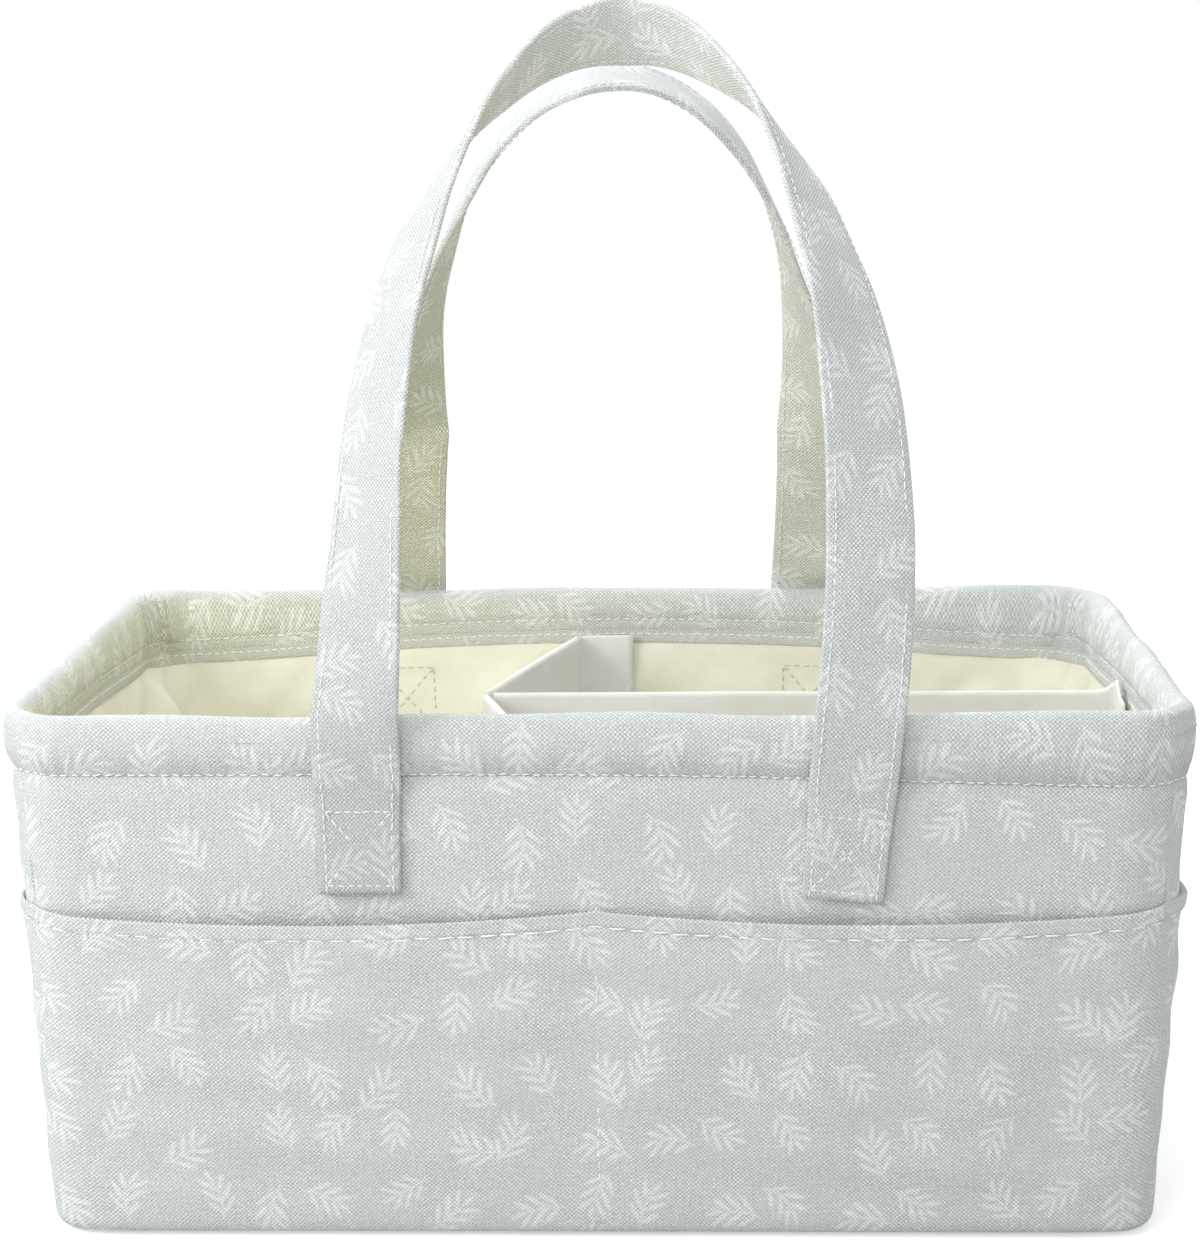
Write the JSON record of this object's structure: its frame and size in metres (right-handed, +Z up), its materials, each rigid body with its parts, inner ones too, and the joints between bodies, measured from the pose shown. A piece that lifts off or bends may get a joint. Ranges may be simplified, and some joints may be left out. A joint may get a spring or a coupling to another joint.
{
  "type": "diaper caddy",
  "caption": "Open-top rectangular canvas diaper caddy with a padded rim, outside pockets, ribbon handles and a lift-out Y-shaped divider.",
  "frame": {"origin": "centre of the underside, on the surface that the caddy stands on", "axes": "+X along the length, -Y towards the front face of the picture, +Z up"},
  "size_m": [0.3856, 0.2461, 0.3911],
  "materials": {
    "canvas_print": "matte plain-weave canvas, pale grey-green with a scattered white print",
    "lining": "smooth cream lining cloth",
    "foam": "needled felt padding",
    "board": "plain stiffener board",
    "binding_tape": "narrow woven tape",
    "divider_cloth": "smooth off-white cloth",
    "hook_and_loop": "hook-and-loop tape"
  },
  "bodies": {
    "root": {"outer_front_panel": "canvas_print", "outer_back_panel": "canvas_print", "outer_left_panel": "canvas_print", "outer_right_panel": "canvas_print", "outer_base_panel": "canvas_print", "rim_band": "canvas_print", "front_pocket": "canvas_print", "back_pocket": "canvas_print", "left_pocket": "canvas_print", "right_pocket": "canvas_print", "front_handle_left_end": "canvas_print", "front_handle_right_end": "canvas_print", "back_handle_left_end": "canvas_print", "back_handle_right_end": "canvas_print", "lining_front": "lining", "lining_back": "lining", "lining_left": "lining", "lining_right": "lining", "lining_floor": "lining", "stiffener_front": "foam", "stiffener_back": "foam", "stiffener_left": "foam", "stiffener_right": "foam", "rim_foam_core": "foam", "base_board": "board", "rim_binding_tape": "binding_tape", "front_loop_patch": "hook_and_loop", "back_loop_patch": "hook_and_loop", "right_loop_patch": "hook_and_loop"},
    "front_handle": {"front_handle": "canvas_print"},
    "back_handle": {"back_handle": "canvas_print"},
    "divider": {"divider_long_cover": "divider_cloth", "divider_long_board": "board", "right_hook_strip": "hook_and_loop"},
    "front_wing": {"front_wing_cover": "divider_cloth", "front_wing_board": "board", "front_hook_strip": "hook_and_loop"},
    "back_wing": {"back_wing_cover": "divider_cloth", "back_wing_board": "board", "back_hook_strip": "hook_and_loop"}
  },
  "joints": [
    {"name": "front_handle_swing", "type": "hinge", "parent": "root", "child": "front_handle", "pos_m": [0, -0.11584, 0.1436], "axis": [1, 0, 0], "range_deg": [0, 115]},
    {"name": "back_handle_swing", "type": "hinge", "parent": "root", "child": "back_handle", "pos_m": [0, 0.11584, 0.1436], "axis": [-1, 0, 0], "range_deg": [0, 115]},
    {"name": "divider_lift", "type": "slide", "parent": "root", "child": "divider", "axis": [0, 0, 1], "range_m": [0, 0.165]},
    {"name": "front_wing_fold", "type": "hinge", "parent": "divider", "child": "front_wing", "pos_m": [-0.04, -0.00165, 0], "axis": [0, 0, 1], "range_deg": [0, 60]},
    {"name": "back_wing_fold", "type": "hinge", "parent": "divider", "child": "back_wing", "pos_m": [-0.04, 0.00165, 0], "axis": [0, 0, -1], "range_deg": [0, 60]}
  ]
}
